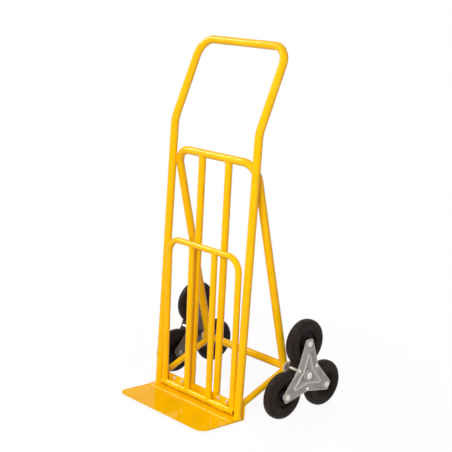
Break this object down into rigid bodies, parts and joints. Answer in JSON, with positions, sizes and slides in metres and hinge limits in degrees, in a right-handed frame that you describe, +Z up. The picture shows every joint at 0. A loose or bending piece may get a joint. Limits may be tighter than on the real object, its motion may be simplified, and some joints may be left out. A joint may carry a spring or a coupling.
{
  "type": "stair-climbing sack truck",
  "caption": "Yellow tubular steel sack truck with a back-leaning handle loop, a fold-down toe frame over a bent toe plate, and three-wheel star units that step up stairs.",
  "frame": {"origin": "on the floor under the middle of the bounding box", "axes": "+X across to the near side in the picture, the toe plate points to -Y and the wheels and handle lean to +Y, +Z up"},
  "size_m": [0.6242, 0.5798, 1.2463],
  "materials": {
    "yellow_coat": "glossy powder coat",
    "cast_grey": "satin cast",
    "zinc": "bright zinc",
    "bright_steel": "turned steel",
    "tyre": "semi-matt rubber",
    "wheel_black": "satin",
    "bush": "turned"
  },
  "bodies": {
    "frame": {"axle_beam": "yellow_coat", "axle_cap_left": "zinc", "axle_cap_right": "zinc", "axle_rod": "bright_steel", "axle_spacer_left": "bright_steel", "axle_spacer_right": "bright_steel", "axle_washer_left": "zinc", "axle_washer_right": "zinc", "hinge_bolts": "zinc", "hinge_nuts": "zinc", "hinge_strap_left": "yellow_coat", "hinge_strap_right": "yellow_coat", "inner_slat_left": "yellow_coat", "inner_slat_right": "yellow_coat", "lower_brace_left": "yellow_coat", "lower_brace_right": "yellow_coat", "main_frame_tube": "yellow_coat", "rear_hoop": "yellow_coat", "toe_plate": "yellow_coat"},
    "toe_frame": {"fold_bar_left": "yellow_coat", "fold_bar_right": "yellow_coat", "fold_hinge_tube": "yellow_coat", "fold_hoop": "yellow_coat"},
    "star_right": {"hub_sleeve_right": "cast_grey", "inner_spider_right": "cast_grey", "outer_spider_right": "cast_grey", "tie_rods_right": "zinc", "wheel_bolts_right": "zinc", "wheel_nuts_right": "zinc"},
    "wheel_right_top": {"tyre_top_right": "tyre", "wheel_bush_top_right": "bush", "wheel_centre_top_right": "wheel_black"},
    "wheel_right_front": {"tyre_front_right": "tyre", "wheel_bush_front_right": "bush", "wheel_centre_front_right": "wheel_black"},
    "wheel_right_rear": {"tyre_rear_right": "tyre", "wheel_bush_rear_right": "bush", "wheel_centre_rear_right": "wheel_black"},
    "star_left": {"hub_sleeve_left": "cast_grey", "inner_spider_left": "cast_grey", "outer_spider_left": "cast_grey", "tie_rods_left": "zinc", "wheel_bolts_left": "zinc", "wheel_nuts_left": "zinc"},
    "wheel_left_top": {"tyre_top_left": "tyre", "wheel_bush_top_left": "bush", "wheel_centre_top_left": "wheel_black"},
    "wheel_left_front": {"tyre_front_left": "tyre", "wheel_bush_front_left": "bush", "wheel_centre_front_left": "wheel_black"},
    "wheel_left_rear": {"tyre_rear_left": "tyre", "wheel_bush_rear_left": "bush", "wheel_centre_rear_left": "wheel_black"}
  },
  "joints": [
    {"name": "toe_frame_fold", "type": "hinge", "parent": "frame", "child": "toe_frame", "pos_m": [-0.007, -0.11219, 0.02102], "axis": [1, 0, 0], "range_deg": [-1.2, 89.4]},
    {"name": "star_right_spin", "type": "hinge", "parent": "frame", "child": "star_right", "pos_m": [0.2775, 0.11189, 0.137], "axis": [1, 0, 0], "continuous": true},
    {"name": "wheel_right_top_spin", "type": "hinge", "parent": "star_right", "child": "wheel_right_top", "pos_m": [0.2775, 0.11189, 0.249], "axis": [1, 0, 0], "continuous": true},
    {"name": "wheel_right_front_spin", "type": "hinge", "parent": "star_right", "child": "wheel_right_front", "pos_m": [0.2775, 0.01489, 0.081], "axis": [1, 0, 0], "continuous": true},
    {"name": "wheel_right_rear_spin", "type": "hinge", "parent": "star_right", "child": "wheel_right_rear", "pos_m": [0.2775, 0.20888, 0.081], "axis": [1, 0, 0], "continuous": true},
    {"name": "star_left_spin", "type": "hinge", "parent": "frame", "child": "star_left", "pos_m": [-0.2775, 0.11189, 0.137], "axis": [1, 0, 0], "continuous": true},
    {"name": "wheel_left_top_spin", "type": "hinge", "parent": "star_left", "child": "wheel_left_top", "pos_m": [-0.2775, 0.11189, 0.249], "axis": [1, 0, 0], "continuous": true},
    {"name": "wheel_left_front_spin", "type": "hinge", "parent": "star_left", "child": "wheel_left_front", "pos_m": [-0.2775, 0.01489, 0.081], "axis": [1, 0, 0], "continuous": true},
    {"name": "wheel_left_rear_spin", "type": "hinge", "parent": "star_left", "child": "wheel_left_rear", "pos_m": [-0.2775, 0.20888, 0.081], "axis": [1, 0, 0], "continuous": true}
  ]
}
